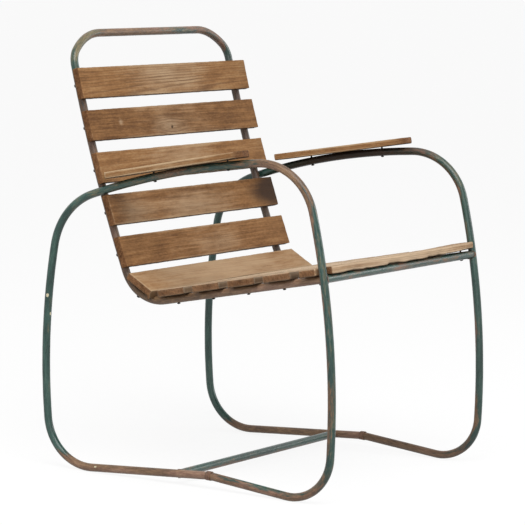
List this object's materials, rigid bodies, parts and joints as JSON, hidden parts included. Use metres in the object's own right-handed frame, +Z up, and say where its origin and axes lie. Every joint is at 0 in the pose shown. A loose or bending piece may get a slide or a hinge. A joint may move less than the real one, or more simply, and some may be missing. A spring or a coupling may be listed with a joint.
{
  "type": "garden armchair",
  "caption": "Outdoor armchair with closed tube side loops, a one-piece bent tube seat and back frame, wooden slats and flat wooden arm boards.",
  "frame": {"origin": "on the floor, below the middle of the two side loops", "axes": "+Z up, the sitter looks along -Y, the sitter's right is at -X"},
  "size_m": [0.655, 0.6762, 0.8678],
  "materials": {
    "painted_tube": "weathered dark green paint with rust",
    "slat_wood": "oiled, weathered hardwood",
    "arm_wood": "worn, paler hardwood",
    "screw_steel": "blackened steel",
    "weld_metal": "painted over, rusty"
  },
  "bodies": {
    "root": {"right_side_loop": "painted_tube", "left_side_loop": "painted_tube", "seat_back_frame": "painted_tube", "front_rail": "painted_tube", "floor_crossbar": "painted_tube", "back_slat_1": "slat_wood", "back_slat_2": "slat_wood", "back_slat_3": "slat_wood", "back_slat_4": "slat_wood", "back_slat_5": "slat_wood", "seat_slat_1": "slat_wood", "seat_slat_2": "slat_wood", "seat_slat_3": "slat_wood", "seat_slat_4": "slat_wood", "seat_slat_5": "slat_wood", "seat_slat_6": "slat_wood", "right_arm_board": "arm_wood", "left_arm_board": "arm_wood", "back_slat_screws": "screw_steel", "seat_slat_screws": "screw_steel", "arm_board_screws": "screw_steel", "crossbar_welds": "weld_metal", "front_corner_welds": "weld_metal", "arm_welds": "weld_metal", "runner_welds": "weld_metal"}
  },
  "joints": []
}
